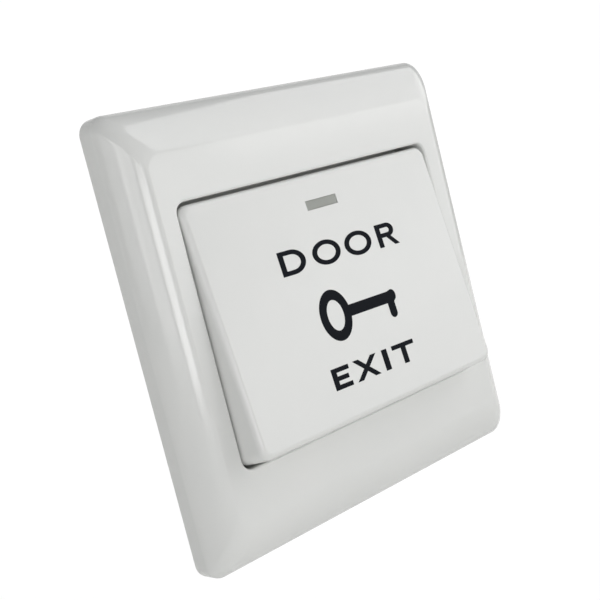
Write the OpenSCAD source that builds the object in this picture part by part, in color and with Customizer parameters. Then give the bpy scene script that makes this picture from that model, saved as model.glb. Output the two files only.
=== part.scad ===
// Door exit button for a square wall box: a plain wall plate with one wide rocking key.
// The key rests with its lower edge proud. A press swings it in, and a spring brings it back.
// Each piece is drawn lying on its back, x to the right, y up the wall and z out into the room,
// and is then stood up, so that the wall is the plane Y = 0 and the room lies towards -Y.

/* [Plate] */
// Width of the wall plate
plate_w = 86; // [84:1:92]
// Height of the wall plate
plate_h = 86; // [84:1:92]
// Height of the plate's front above the wall
land_h = 10; // [9.5:0.5:11]
// Radius of the plate's corners
corner_r = 3; // [3:0.5:6]
// Upright edge of the plate above the wall
edge_h = 3.8; // [3:0.2:4.2]
// Width of the rounded slope at the left and right
side_slope = 6; // [4.5:0.5:6.5]
// Width of the rounded slope at the top and bottom
end_slope = 9; // [7:0.5:10]
// Fullness of the slope's curve, where 2 is an ellipse
slope_power = 1.6; // [1.5:0.1:2.4]
// Wall thickness of the plate
wall = 1.8; // [1.5:0.1:2]

/* [Key] */
// Width of the key's face
key_w = 66.1; // [64:0.1:67]
// Height of the key's face
key_h = 48.2; // [47:0.1:49]
// Depth of the key from its face to its open back
key_depth = 7.4; // [7:0.1:7.6]
// Thickness of the key's face
key_face_t = 2; // [1.8:0.1:2.1]
// Thickness of the key's side walls
key_wall = 1.6; // [1.4:0.1:1.8]
// Rounding of the key's front edges
key_round = 1.2; // [1:0.1:1.8]
// Corner radius of the key's outline
key_corner = 2.2; // [2:0.2:4]
// Gap between the key and the plate's opening
key_gap = 0.5; // [0.45:0.05:0.8]
// Tilt of the key at rest in degrees
rest_tilt = 7; // [6:0.5:7.5]
// Swing of the key when pressed in degrees
press_angle = 10; // [8:0.5:10]
// Distance from the key's face back to its pivot
pivot_back = 4.6; // [4.5:0.1:4.8]

/* [Indicator] */
// Width of the window
window_w = 8.2; // [6:0.1:10]
// Height of the window
window_h = 1.8; // [1.4:0.1:2.4]
// Height of the window's middle above the key's middle
window_up = 18; // [17.6:0.1:18.6]

/* [Mounting plate] */
// Distance between the two wall box screws
screw_pitch = 60; // [59:0.5:61]
// Length of each screw slot
slot_l = 7; // [6:0.5:7.4]
// Radius of each slot's ends
slot_r = 2.1; // [1.8:0.1:2.4]
// Thickness of the mounting plate
base_t = 2.2; // [2:0.1:2.4]

/* [Mechanism] */
// Width of the mechanism housing
housing_w = 38; // [38:1:40]
// Height of the mechanism housing
housing_h = 42; // [42:1:44]
// Depth of the housing behind the wall plane
housing_d = 13; // [12.6:0.2:14]
// Depth of the terminal block
block_d = 9; // [8.4:0.2:10]
// Wall thickness of the housing
housing_wall = 1.5; // [1.3:0.1:1.6]
// Radius of the cradle's pivot pins
pin_r = 1.2; // [1.1:0.1:1.3]
// Running clearance of the pivot pins, on the radius
pin_play = 0.05; // [0.02:0.01:0.08]
// Radius of the plunger
plunger_r = 2.6; // [2.3:0.1:2.8]
// Running clearance of the plunger in its guide, on the radius
guide_play = 0.08; // [0.04:0.01:0.1]
// Wire radius of the return spring
spring_wire_r = 0.35; // [0.3:0.05:0.4]
// Turns of the return spring
spring_turns = 6; // [5:1:7]

/* [Contacts] */
// Thickness of the brass strips
strip_t = 0.6; // [0.5:0.1:0.7]
// Width of the brass strips
strip_w = 4; // [3.6:0.1:4]
// Distance of the contact tips from the housing's lower wall
tip_inset = 3.5; // [3.2:0.1:3.8]
// Distance of the plunger above the contact tips
plunger_inset = 5; // [4.8:0.1:5.4]
// Distance of the contact lever's root from the housing's upper wall
root_inset = 9.5; // [9:0.1:10]
// Radius of the contact tips
tip_r = 1.3; // [1:0.1:1.4]
// Rib between two terminal chambers
chamber_rib = 3.2; // [2.8:0.1:3.4]
// Wall beside the outer terminal chambers
chamber_side = 1.7; // [1.4:0.1:2]
// Radius of the terminal screws
terminal_r = 1.45; // [1.3:0.05:1.5]
// Radius of each wire entry
wire_r = 1.6; // [1.4:0.1:1.7]

/* [Hidden] */
$fn = 48;

white = "whitesmoke";
nylon = "gainsboro";
brass = "goldenrod";
steel = "silver";

// Places shared by several pieces. Heights are above the wall plane.
touch_gap = 0.2;             // running gap between faces that push each other
fit_gap = 0.2;               // assembly gap round a fitted piece
eps = 0.01;
key_draft = 0.2;             // the key is this much wider on each side at its back
pivot_h = land_h - pivot_back * cos(rest_tilt) + key_h / 2 * sin(rest_tilt);
opening_w = key_w + 2 * key_gap;
opening_h = key_h * cos(rest_tilt) + 2 * (pivot_back * sin(rest_tilt) + key_gap);
rim_t = 1.5;                 // wall round the opening that stands on the mounting plate
edge_round = 0.5;            // rounding of the opening's front edge
corner_n = 7;                // steps in each corner of a lofted ring
slope_n = 7;                 // steps across the slope

cheek_t = 2.2;
cheek_top_r = pin_r + 1;
cheek_foot = 5;
cheek_x = housing_w / 2 - cheek_t - 0.2;
arm_t = 1.5;
arm_x = cheek_x - 0.3 - arm_t;
cradle_t = 1.2;
cradle_h = 30;
cradle_front = pivot_back - key_face_t;
claw_x = 11;
claw_w = 5;
claw_t = 1.2;
claw_lip = 0.8;
key_rib_x = key_w / 3;

hook_x = 22;
hook_w = 6;
hook_t = 1.4;
rim_out = opening_h / 2 + rim_t;
skirt_in = plate_h / 2 - wall;
hook_y = (rim_out + skirt_in) / 2 - 1.3;
rib_t = 1.4;
rib_h = 1.6;
rib_y = (rim_out + hook_y) / 2;
barb = 0.8;

boss_x = housing_w / 2 + 4.6;
boss_y = 13;
boss_r = 2.8;
boss_h = 2.6;
lug_r = 2.8;
lug_t = 2;
housing_screw_r = 1;
housing_front_t = 1.6;
housing_roof = base_t - housing_front_t;
cavity_w = housing_w - 2 * housing_wall;
cavity_h = housing_h - 2 * housing_wall;
tip_down = housing_h / 2 - housing_wall - tip_inset;
plunger_arm = tip_down - plunger_inset;
lever_up = housing_h / 2 - housing_wall - root_inset;
post_r = 2.2;
post_x = cavity_w / 2 - post_r + 0.4;
post_y = cavity_h / 2 - post_r + 0.4;

nose_r = 1.2;
nose_drop = 1.8;
nose_w = 8;
plunger_top = pivot_h + plunger_arm * sin(rest_tilt) - nose_drop * cos(rest_tilt) - nose_r - touch_gap;
plunger_travel = plunger_arm * (sin(rest_tilt) + sin(press_angle - rest_tilt));
collar_r = 4.2;
collar_t = 1.5;
collar_top = housing_roof - 0.1;
collar_low = collar_top - collar_t;
stem_r = 1.6;
stem_l = 4;
nib_l = 2;
lever_front = collar_low - nib_l - touch_gap;
lever_back = lever_front - strip_t;
lever_swing = asin(plunger_travel / (lever_up + plunger_arm));
tip_travel = (lever_up + tip_down) * sin(lever_swing);
tip_h = 0.5;
contact_gap = 0.12;
closed_tip_h = 0.7;
closed_back = lever_front + tip_h + contact_gap + closed_tip_h;
open_tip_h = 0.65;
open_front = lever_back - tip_h - tip_travel - tip_r * sin(lever_swing) - contact_gap - open_tip_h;
strip_y = cavity_h / 2 - 0.3;
tab_top = tip_down - 1.6;
notch_depth = 0.3;

floor_t = 2;
seat_front = -housing_d - floor_t;
seat_back = seat_front - strip_t;
block_back = -housing_d - block_d;
chamber_w = (housing_w - 2 * chamber_side - 2 * chamber_rib) / 3;
terminal_pitch = chamber_w + chamber_rib;
seat_w = chamber_w - 1.4;
lever_x = terminal_pitch - seat_w / 2 - 0.3 - strip_w / 2;
seat_low = strip_y - 0.2;
seat_high = 8;
chamber_low = housing_h / 2 - housing_wall;
chamber_high = seat_high - 0.5;
wire_space = 2;
clamp_t = 0.9;
clamp_w = chamber_w - 2.2;
clamp_h = 7;
clamp_front = seat_back - wire_space;
screw_y = -(seat_low + seat_high) / 2;
head_r = 2.6;
head_h = 1.6;
well_y = 5.6;

spring_low = -housing_d;
spring_mid_r = stem_r + 1.2;
lever_spring_y = -3;
lever_spring_wire = 0.2;
lever_spring_mid = 1.6;
lever_spring_turns = 8;

// Stands a piece that was drawn lying on its back up against the wall.
module stand() rotate([90, 0, 0]) children();

// Places what turns with the key, drawn round the key's pivot, at its rest tilt.
module on_key() translate([0, 0, pivot_h]) rotate([-rest_tilt, 0, 0]) children();

module span(x0, x1, y0, y1, z0, z1) translate([x0, y0, z0]) cube([x1 - x0, y1 - y0, z1 - z0]);
module post(x, y, z0, z1, r) translate([x, y, z0]) cylinder(r = r, h = z1 - z0);
module both_sides() for (s = [0, 1]) mirror([s, 0, 0]) children();
module four_corners() both_sides() for (s = [0, 1]) mirror([0, s, 0]) children();

module round_rect(w, h, r) {
    square([w - 2 * r, h], center = true);
    square([w, h - 2 * r], center = true);
    for (x = [-1, 1], y = [-1, 1]) translate([x * (w / 2 - r), y * (h / 2 - r)]) circle(r);
}

module slot(l, r) {
    square([l - 2 * r, 2 * r], center = true);
    for (x = [-1, 1]) translate([x * (l / 2 - r), 0]) circle(r);
}

// One ring of a loft: a rectangle of half sizes hw and hh with corners of radius r, at height z.
function ring(hw, hh, r, z) = [
    for (q = [0 : 3], i = [0 : corner_n])
        let (
            a = 90 * (q + i / corner_n),
            sx = (q == 0 || q == 3) ? 1 : -1,
            sy = q < 2 ? 1 : -1
        )
        [sx * (hw - r) + r * cos(a), sy * (hh - r) + r * sin(a), z]
];

// Skins a list of rings. A closed loft joins the last ring to the first, an open one has end faces.
module loft(rings, closed = false) {
    n = len(rings[0]);
    m = len(rings);
    last = closed ? m - 1 : m - 2;
    sides = [
        for (i = [0 : last], j = [0 : n - 1])
            let (
                k = (i + 1) % m,
                a = i * n + j,
                b = i * n + (j + 1) % n,
                c = k * n + (j + 1) % n,
                d = k * n + j
            )
            each [[a, d, c], [a, c, b]]
    ];
    low = [for (j = [0 : n - 1]) j];
    high = [for (j = [n - 1 : -1 : 0]) (m - 1) * n + j];
    polyhedron([for (r = rings) each r], closed ? sides : concat(sides, [low, high]));
}

// A coil of round wire along z, from z0 to z1, as one swept tube.
module coil(mid_r, wire_r, turns, z0, z1) {
    steps = 14;
    around = 6;
    count = turns * steps;
    rise = z1 - z0 - 2 * wire_r - 0.1;
    points = [
        for (i = [0 : count], j = [0 : around - 1])
            let (
                a = 360 * i / steps,
                b = 360 * j / around,
                r = mid_r + wire_r * cos(b)
            )
            [r * cos(a), r * sin(a), z0 + wire_r + 0.05 + rise * i / count + wire_r * sin(b)]
    ];
    sides = [
        for (i = [0 : count - 1], j = [0 : around - 1])
            let (a = i * around + j, b = i * around + (j + 1) % around)
            each [[a, a + around, b + around], [a, b + around, b]]
    ];
    start = [for (j = [0 : around - 1]) j];
    end = [for (j = [around - 1 : -1 : 0]) count * around + j];
    polyhedron(points, concat(sides, [start, end]));
}

// Height of the slope's curve above its foot, as a share, at share s of its width.
function rise(s) = pow(1 - pow(1 - s, slope_power), 1 / slope_power);

// The slope's rings, inset by d from the plate's skin.
function slope_rings(d) = [
    for (i = [0 : slope_n])
        let (s = 1 - cos(90 * i / slope_n))
        ring(
            plate_w / 2 - d - s * (side_slope - d),
            plate_h / 2 - d - s * (end_slope - d),
            corner_r - d * 0.8,
            edge_h - d * 0.4 + rise(s) * (land_h - edge_h - d * 0.6)
        )
];

function reversed(list) = [for (i = [len(list) - 1 : -1 : 0]) list[i]];

// The plate's section swept round the opening: the outer skin, the rim, then the inner skin.
module cover_frame() color(white) stand() {
    ow = opening_w / 2;
    oh = opening_h / 2;
    bevel = edge_round * 0.3;
    inner = slope_rings(wall);
    loft(concat(
        [ring(plate_w / 2, plate_h / 2, corner_r, 0)],
        slope_rings(0),
        [
            ring(ow + edge_round, oh + edge_round, key_corner + edge_round, land_h),
            ring(ow + bevel, oh + bevel, key_corner + bevel, land_h - bevel),
            ring(ow, oh, key_corner, land_h - edge_round),
            ring(ow, oh, key_corner, base_t),
            ring(ow + rim_t, oh + rim_t, key_corner + rim_t, base_t),
            ring(ow + rim_t, oh + rim_t, key_corner + rim_t, land_h - wall)
        ],
        reversed(inner),
        [ring(plate_w / 2 - wall, plate_h / 2 - wall, corner_r - wall * 0.8, 0)]
    ), closed = true);
    x0 = hook_x - hook_w / 2;
    x1 = hook_x + hook_w / 2;
    four_corners() {
        span(x0, x1, hook_y, hook_y + hook_t, 0.3, land_h - wall + 0.2);
        span(x0, x1, hook_y + hook_t - eps, hook_y + hook_t + barb, 0.3, 1.1);
    }
}

// The key is a shallow cap. Claws behind its face grip the cradle.
module key() color(white) stand() on_key() {
    hw = key_w / 2;
    hh = key_h / 2;
    back = pivot_back - key_depth;
    difference() {
        union() {
            loft(concat(
                [
                    ring(hw - key_wall - 0.4, hh - key_wall - 0.4, key_corner - 0.9, cradle_front),
                    ring(hw + key_draft - key_wall, hh + key_draft - key_wall, key_corner - 0.9, back),
                    ring(hw + key_draft, hh + key_draft, key_corner, back)
                ],
                [
                    for (i = [0 : 5])
                        let (a = 90 * i / 5, d = key_round * (1 - cos(a)))
                        ring(hw - d, hh - d, key_corner - d * 0.5, pivot_back - key_round * (1 - sin(a)))
                ]
            ));
            for (s = [0, 1]) mirror([0, s, 0]) both_sides() claw();
            both_sides()
                span(key_rib_x, key_rib_x + 1.2, 5 - hh, hh - 5, cradle_front - 1.2, cradle_front + eps);
        }
        window_cut();
    }
}

module claw() {
    y = cradle_h / 2 + 0.1;
    x0 = claw_x - claw_w / 2;
    tip = cradle_front - cradle_t - 0.9;
    span(x0, x0 + claw_w, y, y + claw_t, tip, cradle_front + eps);
    span(x0, x0 + claw_w, y - claw_lip, y + eps, tip, cradle_front - cradle_t - 0.05);
}

module window_cut() {
    translate([0, window_up, cradle_front - 1])
        linear_extrude(key_face_t + 2) square([window_w + 0.1, window_h + 0.1], center = true);
}

// A translucent insert with its face level with the key's, held by a flange behind.
module indicator_insert() color("darkseagreen") stand() on_key() translate([0, window_up, 0]) {
    translate([0, 0, cradle_front - eps])
        linear_extrude(key_face_t - 0.1 + eps) square([window_w, window_h], center = true);
    translate([0, 0, cradle_front - key_face_t * 0.4])
        linear_extrude(key_face_t * 0.4) square([window_w * 1.24, window_h * 1.9], center = true);
}

// The rocker that carries the key: a plate with two arms, their pins, and the nose for the plunger.
module cradle() color(nylon) stand() on_key() {
    z1 = cradle_front - cradle_t;
    span(-arm_x - arm_t, arm_x + arm_t, -cradle_h / 2, cradle_h / 2, z1, cradle_front);
    both_sides() {
        translate([arm_x, 0, 0]) rotate([90, 0, 90]) linear_extrude(arm_t) {
            circle(pin_r + 0.8);
            polygon([[-pin_r - 0.8, 0], [pin_r + 0.8, 0], [7, z1 + eps], [-7, z1 + eps]]);
        }
        translate([arm_x + arm_t - eps, 0, 0]) rotate([0, 90, 0]) cylinder(r = pin_r, h = cheek_t + 0.3);
    }
    span(-nose_w / 2, nose_w / 2, -plunger_arm - 0.8, -plunger_arm + 0.8, -nose_drop, z1 + eps);
    translate([-nose_w / 2, -plunger_arm, -nose_drop]) rotate([0, 90, 0]) cylinder(r = nose_r, h = nose_w);
}

// The plate that is screwed to the wall box. The cover snaps on to it.
module mounting_plate() color(white) stand() {
    outer = [plate_w - 2 * (wall + 0.3), plate_h - 2 * (wall + 0.3)];
    difference() {
        union() {
            linear_extrude(base_t) round_rect(outer[0], outer[1], 4);
            four_corners() post(boss_x, boss_y, 0, base_t + boss_h, boss_r);
            for (s = [-1, 1]) {
                y = s * rib_y - rib_t / 2;
                x = s * (outer[0] / 2 - 3.3) - rib_t / 2;
                span(6.9 - outer[0] / 2, outer[0] / 2 - 6.9, y, y + rib_t, base_t - eps, base_t + rib_h);
                span(x, x + rib_t, 4 - rib_y, rib_y - 4, base_t - eps, base_t + rib_h);
            }
        }
        translate([0, 0, -1]) linear_extrude(base_t + 2)
            square([housing_w + 2 * fit_gap, housing_h + 2 * fit_gap], center = true);
        four_corners() {
            post(boss_x, boss_y, -1, base_t + boss_h - 0.8, housing_screw_r + 0.02);
            x0 = hook_x - hook_w / 2 - 0.4;
            x1 = hook_x + hook_w / 2 + 0.4;
            span(x0, x1, hook_y - 0.4, hook_y + hook_t + 0.3, -1, base_t + 1);
            span(x0, x1, hook_y, hook_y + hook_t + barb + 0.4, -1, 1.3);
        }
        both_sides() translate([screw_pitch / 2, 0, -1]) linear_extrude(base_t + 2) slot(slot_l, slot_r);
    }
}

// A box behind the wall plane. Its front passes through the plate and carries the two bearing cheeks.
module mechanism_housing() color(nylon) stand() {
    difference() {
        union() {
            translate([0, 0, -housing_d]) linear_extrude(housing_d + base_t)
                square([housing_w, housing_h], center = true);
            four_corners() lug();
            both_sides() cheek();
        }
        difference() {
            translate([0, 0, -housing_d - 1]) linear_extrude(housing_d + 1 + housing_roof)
                square([cavity_w, cavity_h], center = true);
            both_sides() post(post_x, post_y, -housing_d - 1, housing_roof + 1, post_r);
        }
        post(0, -plunger_arm, -1, base_t + 1, plunger_r + guide_play);
        both_sides() post(post_x, post_y, -housing_d - 1, housing_roof - 2, housing_screw_r + 0.02);
        four_corners() post(boss_x, boss_y, -lug_t - 1, 1, housing_screw_r + 0.4);
        translate([-housing_w, 0, pivot_h]) rotate([0, 90, 0])
            cylinder(r = pin_r + pin_play, h = 2 * housing_w);
    }
}

module lug() translate([0, 0, -lug_t]) linear_extrude(lug_t) {
    translate([boss_x, boss_y]) circle(lug_r);
    translate([housing_w / 2 - 1, boss_y - lug_r]) square([boss_x - housing_w / 2 + 1, 2 * lug_r]);
}

module cheek() translate([cheek_x, 0, 0]) rotate([90, 0, 90]) linear_extrude(cheek_t) {
    translate([0, pivot_h]) circle(cheek_top_r);
    polygon([
        [-cheek_foot, base_t - eps], [cheek_foot, base_t - eps],
        [cheek_top_r, pivot_h], [-cheek_top_r, pivot_h]
    ]);
}

// A pan head screw along z. Its head is at the back, away from the room.
module pan_screw(x, y, head_z, tip_z, r, big_r, high) {
    difference() {
        union() {
            post(x, y, head_z - eps, tip_z, r);
            post(x, y, head_z - high * 0.6, head_z, big_r);
            translate([x, y, head_z - high]) cylinder(r1 = big_r * 0.7, r2 = big_r, h = high * 0.4 + eps);
        }
        span(x - big_r, x + big_r, y - 0.3, y + 0.3, head_z - high - 1, head_z - high * 0.5);
    }
}

// One of the small screws that hold the housing and the block.
module small_screw(x, y, head_z, length)
    pan_screw(x, y, head_z, head_z + length, housing_screw_r, housing_screw_r * 2.3, housing_screw_r * 1.5);

module housing_screws() color(steel) stand()
    four_corners() small_screw(boss_x, boss_y, -lug_t, lug_t + base_t + boss_h - 1);

// The rear block: three terminal chambers below and a well for the common strip above.
module terminal_block() color(nylon) stand() {
    difference() {
        translate([0, 0, block_back]) linear_extrude(block_d) square([housing_w, housing_h], center = true);
        for (i = [-1 : 1]) translate([i * terminal_pitch, 0, 0]) {
            span(-chamber_w / 2, chamber_w / 2, -chamber_low, -chamber_high, block_back - 1, seat_front);
            post(0, screw_y, seat_front - 1, -housing_d - 0.5, terminal_r + 0.25);
            translate([0, -chamber_low + 1, clamp_front + wire_space / 2]) rotate([90, 0, 0])
                cylinder(r = wire_r, h = 4);
        }
        span(-terminal_pitch - strip_w, lever_x + strip_w, -well_y, lever_up + 4,
            block_back - 1, seat_front);
        translate([0, 0, seat_back - 0.1]) linear_extrude(strip_t + 0.1 + eps) {
            offset_strip() common_outline();
            offset_strip() open_outline();
        }
        leg_slot(lever_x, lever_up + strip_t / 2 - 0.1);
        leg_slot(lever_x, -strip_y + strip_t / 2);
        leg_slot(terminal_pitch, -strip_y + strip_t / 2);
        both_sides() {
            post(post_x, post_y, block_back - 1, -housing_d + 1, housing_screw_r + 0.4);
            post(post_x, post_y, block_back - 1, seat_front - 2, 2.7);
        }
    }
    post(0, -plunger_arm, -housing_d - eps, -housing_d + 1.6, stem_r);
    post(lever_x, lever_spring_y, -housing_d - eps, -housing_d + 1.6,
        lever_spring_mid - lever_spring_wire - 0.2);
}

module leg_slot(x, y) translate([x, y, seat_front - 1]) linear_extrude(floor_t + 2)
    square([strip_w + 0.3, strip_t + 0.3], center = true);

// A strip's flat outline grown by a small fitting gap, drawn as shifted copies.
module offset_strip() for (dx = [-0.15, 0.15], dy = [-0.15, 0.15]) translate([dx, dy]) children();

module block_screws() color(steel) stand()
    both_sides() small_screw(post_x, post_y, seat_front - 2, floor_t + 2 + housing_d * 0.46);

module plunger() color("dimgray") stand() {
    post(0, -plunger_arm, collar_low, plunger_top - 0.4, plunger_r);
    translate([0, -plunger_arm, plunger_top - 0.4 - eps])
        cylinder(r1 = plunger_r, r2 = plunger_r - 0.4, h = 0.4 + eps);
    post(0, -plunger_arm, collar_low, collar_top, collar_r);
    post(0, -plunger_arm, collar_low - stem_l, collar_low + eps, stem_r);
    span(1, lever_x + strip_w / 2, -plunger_arm - 1.8, -plunger_arm + 1.8, collar_low, collar_top);
    span(lever_x - 1, lever_x + 1, -plunger_arm - 0.7, -plunger_arm + 0.7,
        collar_low - nib_l, collar_low + eps);
}

module return_spring() color(steel) stand()
    translate([0, -plunger_arm, 0]) coil(spring_mid_r, spring_wire_r, spring_turns, spring_low, collar_low);

module contact_lever() color(brass) stand() difference() {
    span(lever_x - strip_w / 2, lever_x + strip_w / 2, -tip_down - 1.8, lever_up + 0.1,
        lever_back, lever_front);
    post(lever_x, -tip_down, lever_back - 1, lever_front + 1, 0.7);
}

// A double sided contact riveted through the lever's end.
module lever_contact() color(steel) stand() {
    post(lever_x, -tip_down, lever_back - tip_h, lever_back, tip_r);
    post(lever_x, -tip_down, lever_back - eps, lever_front + eps, 0.7);
    post(lever_x, -tip_down, lever_front, lever_front + tip_h, tip_r);
}

module contact_spring() color(steel) stand() translate([lever_x, lever_spring_y, 0])
    coil(lever_spring_mid, lever_spring_wire, lever_spring_turns, spring_low, lever_back);

module seat_outline(i) translate([i * terminal_pitch - seat_w / 2, -seat_low])
    square([seat_w, seat_low - seat_high]);

module common_outline() {
    seat_outline(-1);
    translate([-terminal_pitch - strip_w / 2, -seat_high - 1])
        square([strip_w, seat_high + 1 + lever_up + 2]);
    translate([-terminal_pitch - strip_w / 2, lever_up - 2])
        square([terminal_pitch + strip_w + lever_x, 4]);
}

module open_outline() {
    seat_outline(0);
    translate([0, -seat_low]) square([lever_x + strip_w / 2, 3]);
}

module seat(i) difference() {
    children();
    post(i * terminal_pitch, screw_y, seat_back - 1, seat_front + 1, terminal_r + 0.04);
}

// The common strip stands up beside the lever's root, which rocks in a notch in it.
module common_terminal() color(brass) stand() {
    y0 = lever_up - 0.1;
    seat(-1) translate([0, 0, seat_back]) linear_extrude(strip_t) common_outline();
    difference() {
        span(lever_x - strip_w / 2, lever_x + strip_w / 2, y0, y0 + strip_t, seat_back, lever_front + 1.6);
        span(lever_x - strip_w, lever_x + strip_w, y0 - 1, y0 + notch_depth,
            lever_back - 0.2, lever_front + 0.2);
    }
}

module open_terminal() color(brass) stand() {
    seat(0) translate([0, 0, seat_back]) linear_extrude(strip_t) open_outline();
    strip_leg(lever_x, open_front);
    contact_tab(lever_x, open_front);
}

module closed_terminal() color(brass) stand() {
    front = closed_back + strip_t;
    seat(1) translate([0, 0, seat_back]) linear_extrude(strip_t) seat_outline(1);
    strip_leg(terminal_pitch, front);
    contact_tab(lever_x, front);
    span(lever_x, terminal_pitch + strip_w / 2, -strip_y, -strip_y + 2.4, front - strip_t, front);
}

module strip_leg(x, front)
    span(x - strip_w / 2, x + strip_w / 2, -strip_y, -strip_y + strip_t, seat_back, front);

module contact_tab(x, front) difference() {
    span(x - strip_w / 2, x + strip_w / 2, -strip_y, -tab_top + 1, front - strip_t, front);
    post(x, -tip_down, front - strip_t - 1, front + 1, 0.7);
}

// Fixed contacts: a button on one face of the tab, and a shank through it.
module open_contact() color(steel) stand() {
    post(lever_x, -tip_down, open_front, open_front + open_tip_h, tip_r);
    post(lever_x, -tip_down, open_front - strip_t, open_front + eps, 0.7);
}

module closed_contact() color(steel) stand() {
    post(lever_x, -tip_down, closed_back - closed_tip_h, closed_back, tip_r);
    post(lever_x, -tip_down, closed_back - eps, closed_back + strip_t, 0.7);
}

// A wire clamp: a square plate with a turned lip on two sides, loose round its screw.
module wire_clamp(i) color(steel) stand() translate([i * terminal_pitch, screw_y, clamp_front])
    difference() {
        union() {
            span(-clamp_w / 2, clamp_w / 2, -clamp_h / 2, clamp_h / 2, -clamp_t, 0);
            both_sides()
                span(clamp_w / 2 - 0.4, clamp_w / 2 + 0.4, -clamp_h / 2, clamp_h / 2, -clamp_t, 0.8);
        }
        post(0, 0, -clamp_t - 1, 1, terminal_r + 0.1);
    }

module common_clamp() wire_clamp(-1);
module open_clamp() wire_clamp(0);
module closed_clamp() wire_clamp(1);

module terminal_screws() color(steel) stand() for (x = [-terminal_pitch, 0, terminal_pitch])
    pan_screw(x, screw_y, clamp_front - clamp_t, -housing_d - 0.8, terminal_r, head_r, head_h);

cover_frame();
key();
indicator_insert();
cradle();
mounting_plate();
mechanism_housing();
housing_screws();
terminal_block();
block_screws();
plunger();
return_spring();
contact_lever();
lever_contact();
contact_spring();
common_terminal();
open_terminal();
closed_terminal();
open_contact();
closed_contact();
common_clamp();
open_clamp();
closed_clamp();
terminal_screws();
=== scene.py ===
"""Looks of a door exit button: a white wall plate with one wide rocking key.

Sizes are in millimetres. A piece is drawn lying on its back, x to the right, y up the wall and z out
into the room, and is then stood up in the row frame, where the wall is the plane Y = 0.
"""

import math

import bmesh
import bpy
from mathutils import Matrix, Vector


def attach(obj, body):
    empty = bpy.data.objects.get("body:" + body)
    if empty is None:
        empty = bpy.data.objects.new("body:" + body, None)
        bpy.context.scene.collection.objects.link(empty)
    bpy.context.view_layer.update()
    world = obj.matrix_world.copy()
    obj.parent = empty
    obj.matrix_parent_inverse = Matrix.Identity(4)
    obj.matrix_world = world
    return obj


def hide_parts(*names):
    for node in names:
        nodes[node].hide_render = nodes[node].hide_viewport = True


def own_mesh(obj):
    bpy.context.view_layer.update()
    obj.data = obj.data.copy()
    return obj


MM = 0.001

# The plate
PLATE_W = 86
PLATE_H = 86
LAND = 10
CORNER = 3
EDGE = 3.8
SIDE_SLOPE = 6
END_SLOPE = 9
SLOPE_POWER = 1.6
WALL = 1.8
BASE = 2.2
RIM = 1.5
OPENING_ROUND = 0.5
BACK_ROUND = 0.6
HOOK_X = 22
HOOK_W = 6
HOOK_T = 1.4
BARB = 0.8

# The key
KEY_W = 66.1
KEY_H = 48.2
KEY_DEPTH = 7.4
KEY_FACE = 2
KEY_WALL = 1.6
KEY_ROUND = 1.2
KEY_CORNER = 2.2
KEY_GAP = 0.5
KEY_DRAFT = 0.2
TILT = math.radians(7)
PIVOT_BACK = 4.6
WINDOW_W = 8.2
WINDOW_H = 1.8
WINDOW_UP = 18

# The mechanism
BLOCK_FRONT = -15
SPRING_BACK = -13
COLLAR_BACK = -1
LEVER_BACK = -3.8

PIVOT_H = LAND - PIVOT_BACK * math.cos(TILT) + KEY_H / 2 * math.sin(TILT)
OPENING_W = KEY_W + 2 * KEY_GAP
OPENING_H = KEY_H * math.cos(TILT) + 2 * (PIVOT_BACK * math.sin(TILT) + KEY_GAP)
KEY_BACK = PIVOT_BACK - KEY_DEPTH
FACE_BACK = PIVOT_BACK - KEY_FACE

STAND = Matrix.Rotation(math.pi / 2, 4, "X") @ Matrix.Scale(MM, 4)
ON_KEY = STAND @ Matrix.Translation((0, 0, PIVOT_H)) @ Matrix.Rotation(-TILT, 4, "X")

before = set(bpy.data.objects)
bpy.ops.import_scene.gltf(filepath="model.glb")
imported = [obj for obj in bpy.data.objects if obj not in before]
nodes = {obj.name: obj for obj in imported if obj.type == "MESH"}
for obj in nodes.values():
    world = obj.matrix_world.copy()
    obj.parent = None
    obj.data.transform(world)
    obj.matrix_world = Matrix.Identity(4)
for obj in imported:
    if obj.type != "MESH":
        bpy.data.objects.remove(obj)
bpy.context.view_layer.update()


# ---- Camera, light and surroundings ----


def aim(azimuth, elevation, roll=0):
    """The turn of a camera or lamp that looks at the object from that side."""
    a, e = math.radians(azimuth), math.radians(elevation)
    back = Vector((math.sin(a) * math.cos(e), -math.cos(a) * math.cos(e), math.sin(e)))
    right = Vector((0, 0, 1)).cross(back).normalized()
    turn = Matrix((right, back.cross(right), back)).transposed().to_4x4()
    return turn @ Matrix.Rotation(math.radians(roll), 4, "Z"), back


def place(name, data, target, distance, azimuth, elevation, roll=0):
    """Puts a camera or lamp at a distance from a target, looking at it."""
    turn, back = aim(azimuth, elevation, roll)
    thing = bpy.data.objects.new(name, data)
    thing.matrix_world = Matrix.Translation(target + back * distance) @ turn
    bpy.context.scene.collection.objects.link(thing)
    return thing


def linear(code):
    """A colour for a node, from its sRGB hex code."""
    parts = [int(code[i : i + 2], 16) / 255 for i in (1, 3, 5)]
    return [p / 12.92 if p <= 0.04045 else ((p + 0.055) / 1.055) ** 2.4 for p in parts] + [1]


def add(tree, kind, sockets=None, **settings):
    """Adds a node. Each socket is given a value, or the other node's socket that feeds it."""
    made = tree.nodes.new(kind)
    for name, value in settings.items():
        setattr(made, name, value)
    for name, value in (sockets or {}).items():
        if isinstance(value, bpy.types.NodeSocket):
            tree.links.new(value, made.inputs[name])
        else:
            made.inputs[name].default_value = value
    return made


camera = bpy.data.cameras.new("camera")
camera.lens = 66.73
camera.sensor_width = 36
camera.clip_start = 0.01
view = place("camera", camera, Vector((-2.42, 0, 0.07)) * MM, 226.24 * MM, -40.45, 6.12, -14.18)
bpy.context.scene.camera = view

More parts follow.
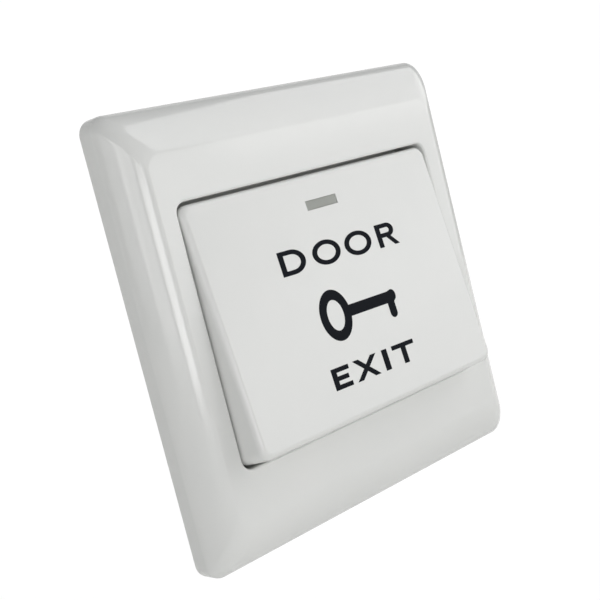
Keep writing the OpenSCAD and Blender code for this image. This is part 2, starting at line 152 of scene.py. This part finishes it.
# Softboxes: name, size in metres, watts, distance, azimuth and elevation
for name, width, height, watts, distance, azimuth, elevation in (
    ("softbox_wide", 1.4, 1.4, 10.9, 1.4, 62, 30),
    ("softbox_low", 1.2, 0.25, 1.63, 1.2, 52, 0),
    ("softbox_left", 0.9, 0.6, 1.4, 1.2, -75, 10),
    ("softbox_camera", 0.6, 0.6, 2.1, 1.2, -50, 5),
    ("streak_box", 0.22, 0.16, 0.54, 0.6, -20, -2.3),
):
    lamp = bpy.data.lights.new(name, "AREA")
    lamp.shape = "RECTANGLE"
    lamp.size = width
    lamp.size_y = height
    lamp.energy = watts
    place(name, lamp, Vector(), distance, azimuth, elevation)

world = bpy.data.worlds.new("studio")
world.use_nodes = True
world.node_tree.nodes.clear()
ray = add(world.node_tree, "ShaderNodeLightPath")
room = add(world.node_tree, "ShaderNodeBackground", {"Color": linear("#EFF1F3"), "Strength": 0.22})
white = add(world.node_tree, "ShaderNodeBackground", {"Color": (1, 1, 1, 1), "Strength": 1.0})
seen = add(
    world.node_tree,
    "ShaderNodeMixShader",
    {0: ray.outputs["Is Camera Ray"], 1: room.outputs[0], 2: white.outputs[0]},
)
add(world.node_tree, "ShaderNodeOutputWorld", {"Surface": seen.outputs[0]})
bpy.context.scene.world = world


def paper():
    """Plain white paper: the camera sees it white, mirrored it is dimmer, and it keeps soft shadows."""
    made = bpy.data.materials.new("white_paper")
    made.use_nodes = True
    tree = made.node_tree
    tree.nodes.clear()
    ray = add(tree, "ShaderNodeLightPath")
    clear = add(
        tree,
        "ShaderNodeMath",
        {0: ray.outputs["Is Glossy Ray"], 1: ray.outputs["Is Transmission Ray"]},
        operation="MAXIMUM",
    )
    dimmed = add(tree, "ShaderNodeMath", {0: clear.outputs[0], 1: 0.35}, operation="MULTIPLY")
    direct = add(
        tree, "ShaderNodeMath", {0: ray.outputs["Is Camera Ray"], 1: 0.92}, operation="MULTIPLY"
    )
    share = add(
        tree, "ShaderNodeMath", {0: direct.outputs[0], 1: dimmed.outputs[0]}, operation="MAXIMUM"
    )
    sheet = add(tree, "ShaderNodeBsdfDiffuse", {"Color": linear("#F4F4F2")})
    glow = add(tree, "ShaderNodeEmission", {"Color": (1, 1, 1, 1), "Strength": 1.05})
    both = add(
        tree, "ShaderNodeMixShader", {0: share.outputs[0], 1: sheet.outputs[0], 2: glow.outputs[0]}
    )
    add(tree, "ShaderNodeOutputMaterial", {"Surface": both.outputs[0]})
    return made


def sweep_stage():
    """A floor that curves up into a backdrop, as one sheet of paper."""
    half, back, bend, floor = 1.5, 0.7, 0.25, -0.15
    profile = [(-1.5, floor)]
    for i in range(13):
        a = math.pi / 2 * i / 12
        profile.append((back - bend + bend * math.sin(a), floor + bend - bend * math.cos(a)))
    profile.append((back, 1.2))
    points = [(x, y, z) for y, z in profile for x in (-half, half)]
    faces = [(2 * i, 2 * i + 1, 2 * i + 3, 2 * i + 2) for i in range(len(profile) - 1)]
    mesh = bpy.data.meshes.new("paper_sweep")
    mesh.from_pydata(points, [], faces)
    mesh.shade_smooth()
    mesh.materials.append(paper())
    sheet = bpy.data.objects.new("paper_sweep", mesh)
    bpy.context.scene.collection.objects.link(sheet)


sweep_stage()


# ---- Materials ----


def finish(
    name,
    colour,
    shade,
    ior,
    roughness,
    patch,
    grain,
    depth,
    metal=0.0,
    stretch=(1, 1, 1),
    uneven=0.04,
    through=0.0,
    glow=0.0,
):
    """A material with a cloudy tone between two colours, an uneven gloss and a fine surface relief.

    patch is the size of the clouds and grain the size of the relief, in mm, and depth its height in
    mm. stretch draws the grain out along an axis. through is the light it lets pass, glow the share
    that spreads inside it.
    """
    made = bpy.data.materials.new(name)
    made.use_nodes = True
    tree = made.node_tree
    tree.nodes.clear()
    place_ = add(tree, "ShaderNodeTexCoord")
    drawn = add(
        tree,
        "ShaderNodeMapping",
        {"Vector": place_.outputs["Object"], "Scale": [1 / s for s in stretch]},
    )
    clouds = add(
        tree,
        "ShaderNodeTexNoise",
        {"Vector": place_.outputs["Object"], "Scale": 1 / (patch * MM), "Detail": 3.0},
    )
    relief = add(
        tree,
        "ShaderNodeTexNoise",
        {"Vector": drawn.outputs["Vector"], "Scale": 1 / (grain * MM), "Detail": 2.0},
    )
    tone = add(
        tree,
        "ShaderNodeMix",
        {0: clouds.outputs["Fac"], 6: linear(colour), 7: linear(shade)},
        data_type="RGBA",
    )
    gloss = add(
        tree,
        "ShaderNodeMapRange",
        {
            "Value": clouds.outputs["Fac"],
            "To Min": roughness - uneven,
            "To Max": roughness + uneven,
        },
    )
    bump = add(
        tree,
        "ShaderNodeBump",
        {"Height": relief.outputs["Fac"], "Distance": depth * MM, "Strength": 1.0},
    )
    surface = add(
        tree,
        "ShaderNodeBsdfPrincipled",
        {
            "Base Color": tone.outputs[2],
            "Roughness": gloss.outputs["Result"],
            "Metallic": metal,
            "IOR": ior,
            "Transmission Weight": through,
            "Subsurface Weight": glow,
            "Subsurface Scale": 1.2 * MM,
            "Normal": bump.outputs["Normal"],
        },
    )
    add(tree, "ShaderNodeOutputMaterial", {"Surface": surface.outputs[0]})
    return made


METAL_IOR = 1.5

# ABS from a polished mould: an even warm white, a clean shine, and very shallow waves in the gloss.
glossy_abs = finish(
    "moulded_gloss_abs", "#E6E6E4", "#E2E3E1", 1.54, 0.13, 14, 5, 0.006, uneven=0.02
)
# The key's ABS: the same white from a mould polished a little less, so that its edges shine softer.
key_abs = finish(
    "moulded_soft_gloss_abs", "#E6E6E4", "#E2E3E1", 1.54, 0.24, 14, 5, 0.006, uneven=0.02
)
# ABS from a spark-eroded mould: the same white with a fine matt grain that scatters highlights.
satin_abs = finish("moulded_satin_abs", "#DEDEDB", "#D8D8D5", 1.54, 0.48, 9, 0.35, 0.02)
# Natural nylon: a milky, slightly yellow white with a waxy, soft shine.
milky_nylon = finish("moulded_natural_nylon", "#E3DFD0", "#D9D4C3", 1.53, 0.38, 6, 0.8, 0.01, glow=0.3)
# Glass-filled nylon: a dull light grey, with a mottled skin where the fibres lie near it.
filled_nylon = finish("moulded_filled_nylon", "#BFC1C1", "#A9ACAD", 1.53, 0.5, 2.4, 0.5, 0.02, uneven=0.1)
# Black acetal: slippery and dense, a dark grey with a soft sheen.
acetal = finish("moulded_black_acetal", "#2B2C2E", "#232426", 1.48, 0.34, 5, 1.2, 0.006)
# Smoked polycarbonate: a grey-green that lets some light in from behind, with a frosted face.
smoked_pc = finish(
    "moulded_smoked_polycarbonate", "#ACAFA8", "#9EA19A", 1.58, 0.3, 4, 0.6, 0.006, through=0.25
)
# Bright zinc plate on rolled steel: a cool grey with a cloudy shine.
zinc = finish(
    "zinc_plated_steel", "#C9CDD1", "#B4B9BF", METAL_IOR, 0.3, 1.6, 0.3, 0.004, metal=1.0, uneven=0.08
)
# Drawn spring wire: a darker grey with a very fine grain.
wire = finish(
    "drawn_spring_wire", "#A6A8AC", "#8D9095", METAL_IOR, 0.28, 1.2, 0.2, 0.003, metal=1.0
)
# Rolled brass strip: a pale yellow metal, its rolling lines run up the strip.
brass = finish(
    "rolled_brass", "#D8B56A", "#C79F55", METAL_IOR, 0.32, 3, 0.12, 0.003,
    metal=1.0, stretch=(1, 1, 14), uneven=0.06,
)
# Silver alloy rivets: a soft, bright white metal, dulled by a thin tarnish.
silver = finish("riveted_silver", "#E2DED6", "#CFC9BE", METAL_IOR, 0.26, 0.8, 0.2, 0.003, metal=1.0)
# Pad printed ink: a blue-black film with a dull, slightly open surface.
ink = finish("pad_printed_ink", "#0A0D14", "#0F131B", 1.25, 0.8, 1.2, 0.25, 0.004)


# ---- Shapes ----


def ring(half_w, half_h, radius, z, steps):
    """One ring of a loft: a rectangle with round corners at height z."""
    points = []
    for quarter in range(4):
        sx = 1 if quarter in (0, 3) else -1
        sy = 1 if quarter < 2 else -1
        for i in range(steps + 1):
            a = math.pi / 2 * (quarter + i / steps)
            x = sx * (half_w - radius) + radius * math.cos(a)
            points.append((x, sy * (half_h - radius) + radius * math.sin(a), z))
    return points


def skin(rings, closed=False):
    """Joins rings of points by faces. A closed loft joins its ends, an open one has end faces."""
    n = len(rings[0])
    count = len(rings)
    faces = []
    for i in range(count if closed else count - 1):
        k = (i + 1) % count
        for j in range(n):
            m = (j + 1) % n
            faces.append((i * n + j, k * n + j, k * n + m, i * n + m))
    if not closed:
        faces.append(tuple(range(n)))
        faces.append(tuple((count - 1) * n + j for j in reversed(range(n))))
    return [p for r in rings for p in r], faces


def block(x0, x1, y0, y1, z0, z1):
    """The points and faces of a box between those places."""
    return skin(
        [[(x0, y0, z), (x1, y0, z), (x1, y1, z), (x0, y1, z)] for z in (z0, z1)]
    )


def build(name, shapes, matrix, material, body, stands_for=(), cutter=None, bevel=0.0):
    """Makes one piece of several closed shapes, stands it up and lets it ride on a body."""
    mesh = bpy.data.meshes.new(name)
    points, faces = [], []
    for shape_points, shape_faces in shapes:
        start = len(points)
        points += shape_points
        faces += [tuple(start + i for i in face) for face in shape_faces]
    mesh.from_pydata(points, [], faces)
    if cutter:
        mesh = cut(mesh, cutter)
    mesh.transform(matrix)
    work = bmesh.new()
    work.from_mesh(mesh)
    bmesh.ops.recalc_face_normals(work, faces=work.faces)
    work.to_mesh(mesh)
    work.free()
    mesh.shade_smooth()
    mesh.set_sharp_from_angle(angle=math.radians(38))
    mesh.materials.clear()
    mesh.materials.append(material)
    piece = bpy.data.objects.new(name, mesh)
    bpy.context.scene.collection.objects.link(piece)
    if bevel:
        soften(piece, bevel)
    weigh = piece.modifiers.new("even_shading", "WEIGHTED_NORMAL")
    weigh.keep_sharp = True
    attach(piece, body)
    if stands_for:
        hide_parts(*stands_for)
    return piece


def cut(mesh, cutter):
    """The mesh with the cutter's shape taken out of it."""
    tool_mesh = bpy.data.meshes.new("tool")
    tool_mesh.from_pydata(*cutter[:1], [], cutter[1])
    tool = bpy.data.objects.new("tool", tool_mesh)
    whole = bpy.data.objects.new("whole", mesh)
    for thing in (tool, whole):
        bpy.context.scene.collection.objects.link(thing)
        work = bmesh.new()
        work.from_mesh(thing.data)
        bmesh.ops.recalc_face_normals(work, faces=work.faces)
        work.to_mesh(thing.data)
        work.free()
    boolean = whole.modifiers.new("cut", "BOOLEAN")
    boolean.operation = "DIFFERENCE"
    boolean.solver = "EXACT"
    boolean.object = tool
    bpy.context.view_layer.update()
    made = bpy.data.meshes.new_from_object(
        whole.evaluated_get(bpy.context.evaluated_depsgraph_get())
    )
    bpy.data.objects.remove(whole)
    bpy.data.objects.remove(tool)
    return made


def soften(piece, radius):
    """Rounds a piece's sharp edges a little, so that they catch the light as moulded ones do."""
    weld = piece.modifiers.new("join", "WELD")
    weld.merge_threshold = 0.002 * MM
    round_off = piece.modifiers.new("soft_edges", "BEVEL")
    round_off.width = radius * MM
    round_off.segments = 2
    round_off.limit_method = "ANGLE"
    round_off.angle_limit = math.radians(35)
    round_off.harden_normals = True


# ---- The cover ----


def rise(share):
    """Height of the slope's curve above its foot, as a share, at that share of its width."""
    return (1 - max(0, 1 - share) ** SLOPE_POWER) ** (1 / SLOPE_POWER)


def slope_rings(inset, steps, corner_steps):
    """The slope's rings, set in from the plate's skin."""
    rings = []
    for i in range(steps + 1):
        share = 1 - math.cos(math.pi / 2 * i / steps)
        rings.append(
            ring(
                PLATE_W / 2 - inset - share * (SIDE_SLOPE - inset),
                PLATE_H / 2 - inset - share * (END_SLOPE - inset),
                CORNER - inset * 0.8,
                EDGE - inset * 0.4 + rise(share) * (LAND - EDGE - inset * 0.6),
                corner_steps,
            )
        )
    return rings


def cover():
    corner_steps = 20
    slope_steps = 26
    edge_steps = 5
    ow = OPENING_W / 2
    oh = OPENING_H / 2
    edge = []
    for i in range(edge_steps + 1):
        a = math.pi / 2 * i / edge_steps
        out = OPENING_ROUND * (1 - math.sin(a))
        drop = OPENING_ROUND * (1 - math.cos(a))
        edge.append(ring(ow + out, oh + out, KEY_CORNER + out, LAND - drop, corner_steps))
    rings = []
    for i in range(edge_steps + 1):
        a = math.pi / 2 * i / edge_steps
        out = BACK_ROUND * (1 - math.sin(a))
        z = BACK_ROUND * (1 - math.cos(a))
        rings.append(ring(PLATE_W / 2 - out, PLATE_H / 2 - out, CORNER - out, z, corner_steps))
    rings += slope_rings(0, slope_steps, corner_steps)
    rings += edge
    rings += [
        ring(ow, oh, KEY_CORNER, BASE, corner_steps),
        ring(ow + RIM, oh + RIM, KEY_CORNER + RIM, BASE, corner_steps),
        ring(ow + RIM, oh + RIM, KEY_CORNER + RIM, LAND - WALL, corner_steps),
    ]
    rings += reversed(slope_rings(WALL, 8, corner_steps))
    rings.append(ring(PLATE_W / 2 - WALL, PLATE_H / 2 - WALL, CORNER - WALL * 0.8, 0, corner_steps))
    shapes = [skin(rings, closed=True)]
    hook_y = (oh + RIM + PLATE_H / 2 - WALL) / 2 - 1.3
    for sx in (-1, 1):
        x0, x1 = sorted((sx * (HOOK_X - HOOK_W / 2), sx * (HOOK_X + HOOK_W / 2)))
        for sy in (-1, 1):
            leg = sorted((sy * hook_y, sy * (hook_y + HOOK_T)))
            lip = sorted((sy * (hook_y + HOOK_T - 0.01), sy * (hook_y + HOOK_T + BARB)))
            shapes.append(block(x0, x1, *leg, 0.3, LAND - WALL + 0.2))
            shapes.append(block(x0, x1, *lip, 0.3, 1.1))
    build("cover_shell", shapes, STAND, glossy_abs, "base", ["cover_frame"])


# ---- The key ----


def key_cap():
    corner_steps = 16
    round_steps = 10
    hw = KEY_W / 2
    hh = KEY_H / 2
    inner = KEY_CORNER - 0.9
    rings = [
        ring(hw - KEY_WALL - 0.4, hh - KEY_WALL - 0.4, inner, FACE_BACK, corner_steps),
        ring(hw + KEY_DRAFT - KEY_WALL, hh + KEY_DRAFT - KEY_WALL, inner, KEY_BACK, corner_steps),
        ring(hw + KEY_DRAFT, hh + KEY_DRAFT, KEY_CORNER, KEY_BACK, corner_steps),
    ]
    for i in range(round_steps + 1):
        a = math.pi / 2 * i / round_steps
        inset = KEY_ROUND * (1 - math.cos(a))
        z = PIVOT_BACK - KEY_ROUND * (1 - math.sin(a))
        rings.append(ring(hw - inset, hh - inset, KEY_CORNER - inset * 0.5, z, corner_steps))
    w, h = WINDOW_W / 2 + 0.05, WINDOW_H / 2 + 0.05
    window = block(-w, w, WINDOW_UP - h, WINDOW_UP + h, FACE_BACK - 1, PIVOT_BACK + 1)
    shapes = [skin(rings)]
    claw_y, claw_t, lip = 15.1, 1.2, 0.8
    tip = FACE_BACK - 1.2 - 0.9
    for sx in (-1, 1):
        x0, x1 = sorted((sx * 8.5, sx * 13.5))
        rib = sorted((sx * KEY_W / 3, sx * (KEY_W / 3 + 1.2)))
        shapes.append(block(*rib, 5 - hh, hh - 5, FACE_BACK - 1.2, FACE_BACK + 0.01))
        for sy in (-1, 1):
            leg = sorted((sy * claw_y, sy * (claw_y + claw_t)))
            hook = sorted((sy * (claw_y - lip), sy * (claw_y + 0.01)))
            shapes.append(block(x0, x1, *leg, tip, FACE_BACK + 0.01))
            shapes.append(block(x0, x1, *hook, tip, FACE_BACK - 1.2 - 0.05))
    build(
        "key_cap", shapes, ON_KEY, key_abs, "rocker", ["key"], cutter=window
    )


# ---- The print on the key ----

INK_T = 0.02
PRINT_X = 0.5
PRINT_TURN = math.radians(-1)
PRINT_UP = 0.2
STEM = 1.32
BAR = 0.9


def arc(x, y, rx, ry, start, end, steps=20):
    """Points along part of an ellipse, angles in degrees."""
    points = []
    for i in range(steps + 1):
        a = math.radians(start + (end - start) * i / steps)
        points.append((x + rx * math.cos(a), y + ry * math.sin(a)))
    return points


def printed(name, shapes):
    """A film of ink on the key's face. Each shape is an outline and its holes, filled flat."""
    mesh_parts = []
    for outline, *holes in shapes:
        work = bmesh.new()
        edges = []
        for loop in (outline, *holes):
            verts = [work.verts.new((x, y, PIVOT_BACK - 0.004)) for x, y in loop]
            edges += [work.edges.new((a, b)) for a, b in zip(verts, verts[1:] + verts[:1])]
        filled = bmesh.ops.triangle_fill(work, use_beauty=True, use_dissolve=False, edges=edges)
        faces = [f for f in filled["geom"] if isinstance(f, bmesh.types.BMFace)]
        grown = bmesh.ops.extrude_face_region(work, geom=faces, use_keep_orig=True)
        top = [v for v in grown["geom"] if isinstance(v, bmesh.types.BMVert)]
        bmesh.ops.translate(work, verts=top, vec=(0, 0, INK_T))
        work.verts.index_update()
        points = [tuple(v.co) for v in work.verts]
        mesh_parts.append((points, [tuple(v.index for v in f.verts) for f in work.faces]))
        work.free()
    turned = Matrix.Translation((0, PRINT_UP, 0)) @ Matrix.Rotation(PRINT_TURN, 4, "Z")
    return build(name, mesh_parts, ON_KEY @ turned, ink, "rocker")


def letter_d(x, y, h):
    w, rx = 6.6, 3.5
    outline = [(x, y)] + arc(x + w - rx, y + h / 2, rx, h / 2, -90, 90) + [(x, y + h)]
    hole = [(x + STEM, y + BAR)]
    hole += arc(x + w - rx, y + h / 2, rx - STEM, h / 2 - BAR, -90, 90)
    return outline, hole + [(x + STEM, y + h - BAR)]


def letter_o(x, y, h):
    w = 7.5
    outline = arc(x + w / 2, y + h / 2, w / 2, h / 2 + 0.05, 0, 351, 40)
    return outline, arc(x + w / 2, y + h / 2, w / 2 - STEM, h / 2 - BAR + 0.05, 0, 351, 40)


def letter_r(x, y, h):
    mid = y + h * 0.4
    bowl_x, bowl_rx = x + 3.3, 1.9
    outline = [(x, y), (x + STEM, y), (x + STEM, mid), (x + 2.6, mid), (x + 4.5, y), (x + 5.9, y)]
    outline += [(x + 3.9, mid + 0.1)]
    outline += arc(bowl_x, (mid + y + h) / 2, bowl_rx, (y + h - mid) / 2, -62, 90, 14)
    outline.append((x, y + h))
    hole = [(x + STEM, mid + BAR)]
    hole += arc(bowl_x, (mid + y + h) / 2, bowl_rx - STEM, (y + h - mid) / 2 - BAR, -90, 90, 12)
    return outline, hole + [(x + STEM, y + h - BAR)]


def letter_e(x, y, h):
    w, m = 4.7, (h - BAR) / 2
    steps = [(0, 0), (w, 0), (w, BAR), (STEM, BAR), (STEM, m), (w - 0.5, m), (w - 0.5, m + BAR)]
    steps += [(STEM, m + BAR), (STEM, h - BAR), (w, h - BAR), (w, h), (0, h)]
    return ([(x + a, y + b) for a, b in steps],)


def letter_x(x, y, h):
    w, s = 6.6, 1.6
    notch = s * h / (2 * (w - s))
    steps = [(0, 0), (s, 0), (w / 2, h / 2 - notch), (w - s, 0), (w, 0), (w / 2 + s / 2, h / 2)]
    steps += [(w, h), (w - s, h), (w / 2, h / 2 + notch), (s, h), (0, h), (w / 2 - s / 2, h / 2)]
    return ([(x + a, y + b) for a, b in steps],)


def letter_i(x, y, h):
    return ([(x, y), (x + STEM + 0.2, y), (x + STEM + 0.2, y + h), (x, y + h)],)


def letter_t(x, y, h):
    w, s = 6.4, STEM + 0.1
    left, right = (w - s) / 2, (w + s) / 2
    steps = [(left, 0), (right, 0), (right, h - BAR), (w, h - BAR), (w, h), (0, h)]
    steps += [(0, h - BAR), (left, h - BAR)]
    return ([(x + a, y + b) for a, b in steps],)


def symbol_of_a_key(x, y):
    """A plain old-fashioned key: an oval bow, a shank and one tooth. x, y is the bow's middle."""
    rx, ry, hole_x, hole_y = 4.0, 5.1, 2.1, 3.05
    half = 1.15
    meet = math.degrees(math.asin(half / ry))
    end = x + 17.1
    tooth_x, tooth_low, tooth_r = end - 1.9, y - 3.3, 0.98
    outline = arc(x, y, rx, ry, meet, 360 - meet, 48)
    outline.append((tooth_x - tooth_r, y - half))
    outline += arc(tooth_x, tooth_low, tooth_r, tooth_r, 180, 360, 12)
    outline.append((tooth_x + tooth_r, y - half))
    outline += arc(end - 1.1, y + 0.15, 1.1, 1.25, -40, 90, 10)
    outline.append((end - 2.2, y + half))
    return outline, arc(x, y, hole_x, hole_y, 0, 351, 36)


def print_on_key():
    low, high = 5.75, 4.8
    x = PRINT_X
    printed(
        "door_lettering",
        [
            letter_d(x - 15.9, low, high),
            letter_o(x - 7.4, low, high),
            letter_o(x + 1.4, low, high),
            letter_r(x + 10.7, low, high),
        ],
    )
    printed("key_symbol", [symbol_of_a_key(x - 6.4, -4.05)])
    low, high = -17.75, 4.2
    printed(
        "exit_lettering",
        [
            letter_e(x - 12.1, low, high),
            letter_x(x - 6.2, low, high),
            letter_i(x + 1.95, low, high),
            letter_t(x + 4.9, low, high),
        ],
    )


# ---- Springs and screws ----


def coil(mid_r, wire_r, turns, z0, z1):
    """A compression spring of round wire with closed ends, as one swept tube."""
    steps, around = 36, 12
    count = int(turns * steps)
    low = z0 + wire_r + 0.05
    lift = z1 - z0 - 2 * wire_r - 0.1
    closed = 2.1 * wire_r / lift  # share of the length that each closed end turn takes
    rings = []
    for i in range(count + 1):
        t = i / steps
        if t < 1:
            height = closed * t
        elif t > turns - 1:
            height = 1 - closed * (turns - t)
        else:
            height = closed + (1 - 2 * closed) * (t - 1) / (turns - 2)
        a = 2 * math.pi * t
        points = []
        for j in range(around):
            b = 2 * math.pi * j / around
            r = mid_r + wire_r * math.cos(b)
            z = low + lift * height + wire_r * math.sin(b)
            points.append((r * math.cos(a), r * math.sin(a), z))
        rings.append(points)
    return skin(rings)


def moved(shape, x, y, z=0):
    return [(a + x, b + y, c + z) for a, b, c in shape[0]], shape[1]


def springs():
    arm, lever_x, lever_spring_y = 11, 6.3, -3
    back = coil(2.8, 0.35, 7, SPRING_BACK, COLLAR_BACK)
    piece = build(
        "return_coil", [moved(back, 0, -arm)], STAND, wire, "base", ["return_spring"]
    )
    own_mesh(piece)
    front = coil(1.6, 0.2, 9, SPRING_BACK, LEVER_BACK)
    piece = build(
        "contact_coil", [moved(front, lever_x, lever_spring_y)], STAND, wire, "base",
        ["contact_spring"],
    )
    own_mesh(piece)


def screw(r, length, head_r, head_h, pitch):
    """A pan head screw along z with its head below z = 0: a domed head and a cut thread."""
    around = 36
    rings = []
    dome = 8
    for i in range(dome + 1):
        a = math.pi / 2 * i / dome
        radius = max(0.05, head_r * (0.55 * math.sin(a) + 0.45 * math.sqrt(math.sin(a))))
        rings.append((radius, -head_h + head_h * 0.45 * (1 - math.cos(a)), 0))
    rings += [(head_r, -0.08, 0), (head_r - 0.08, 0, 0), (r, 0, 0), (r, 0.5, 0)]
    per_turn = 8
    for i in range(int((length - 1.1) / pitch * per_turn) + 1):
        rings.append((r, 0.5 + i * pitch / per_turn, 1))
    rings += [(r * 0.8, length - 0.3, 0), (r * 0.45, length, 0)]
    points = []
    for radius, z, cut_thread in rings:
        loop = []
        for j in range(around):
            a = 2 * math.pi * j / around
            phase = (z / pitch - j / around) % 1
            groove = 0.16 * r * abs(2 * phase - 1) * cut_thread
            loop.append(((radius - groove) * math.cos(a), (radius - groove) * math.sin(a), z))
        points.append(loop)
    return skin(points)


def cross_recess(size, depth, head_h):
    """The cutter for a straight slot: a narrow bar as deep as a driver needs."""
    return block(-size, size, -0.3, 0.3, -head_h - 1, -head_h + depth)


def screws():
    lug = 2
    small = dict(r=1, length=8.0, head_r=2.3, head_h=1.5, pitch=0.75)
    places = {
        "housing_screws": (
            [(sx * 23.6, sy * 13, -lug) for sx in (-1, 1) for sy in (-1, 1)],
            dict(small, length=5.8),
        ),
        "block_screws": ([(sx * 15.7, 17.7, BLOCK_FRONT - lug) for sx in (-1, 1)], dict(small, length=9.9)),
        "terminal_screws": (
            [(x, -13.5, -18.5) for x in (-12.6, 0, 12.6)],
            dict(r=1.45, length=4.7, head_r=2.6, head_h=1.6, pitch=0.7),
        ),
    }
    for name, (spots, size) in places.items():
        shape = screw(**size)
        slot_cut = cross_recess(size["head_r"] + 0.2, size["head_h"] * 0.5, size["head_h"])
        mesh = bpy.data.meshes.new("screw")
        mesh.from_pydata(shape[0], [], shape[1])
        mesh = cut(mesh, slot_cut)
        made = ([tuple(v.co) for v in mesh.vertices], [tuple(p.vertices) for p in mesh.polygons])
        shapes = [moved(made, *spot) for spot in spots]
        build(name + "_detailed", shapes, STAND, zinc, "base", [name])


cover()
key_cap()
print_on_key()
springs()
screws()

# ---- Finishes of the CAD nodes that stay ----

kept = {
    "indicator_insert": (smoked_pc, 0.1),
    "cradle": (milky_nylon, 0.2),
    "mounting_plate": (satin_abs, 0.2),
    "mechanism_housing": (filled_nylon, 0.2),
    "terminal_block": (filled_nylon, 0.2),
    "plunger": (acetal, 0.1),
    "contact_lever": (brass, 0.06),
    "common_terminal": (brass, 0.06),
    "open_terminal": (brass, 0.06),
    "closed_terminal": (brass, 0.06),
    "lever_contact": (silver, 0.08),
    "open_contact": (silver, 0.08),
    "closed_contact": (silver, 0.08),
    "common_clamp": (zinc, 0.1),
    "open_clamp": (zinc, 0.1),
    "closed_clamp": (zinc, 0.1),
}
for name, (material, radius) in kept.items():
    piece = nodes[name]
    piece.data.materials.clear()
    piece.data.materials.append(material)
    soften(piece, radius)

scene = bpy.context.scene
scene.view_settings.view_transform = "Standard"
